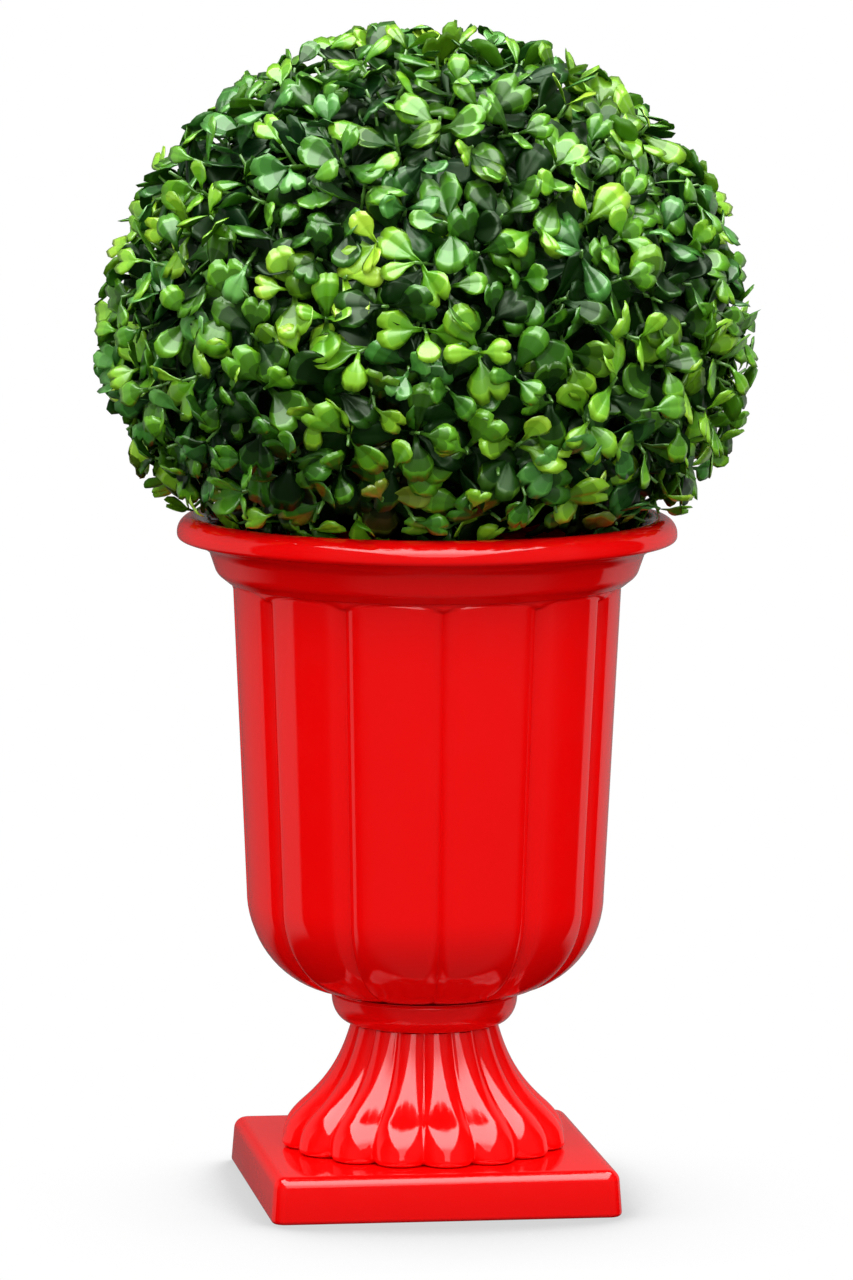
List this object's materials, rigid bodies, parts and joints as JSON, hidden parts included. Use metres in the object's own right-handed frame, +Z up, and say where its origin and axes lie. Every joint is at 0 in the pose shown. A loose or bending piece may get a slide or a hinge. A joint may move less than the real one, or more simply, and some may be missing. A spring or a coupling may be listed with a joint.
{
  "type": "artificial boxwood ball topiary in urn",
  "caption": "Clipped ball of artificial boxwood leaves standing in a glossy fluted urn with rolled rim, neck ring, lobed foot and square plinth.",
  "frame": {"origin": "middle of the plinth's flat underside", "axes": "+Z up along the urn and the stem, plinth sides square to X and Y, and the side seen in front faces -Y"},
  "size_m": [0.3, 0.3004, 0.529],
  "materials": {
    "urn_plastic": "high gloss moulded plastic, saturated red",
    "filling": "dark rigid foam plug",
    "stem_wood": "dark brown, lightly ridged",
    "boxwood_leaves": "soft glossy moulded leaves, dark to lime green"
  },
  "bodies": {
    "root": {"urn_plinth": "urn_plastic", "urn_foot": "urn_plastic", "urn_neck_ring": "urn_plastic", "urn_bowl": "urn_plastic", "pot_filling": "filling", "stem": "stem_wood", "crown_leaves": "boxwood_leaves"}
  },
  "joints": []
}
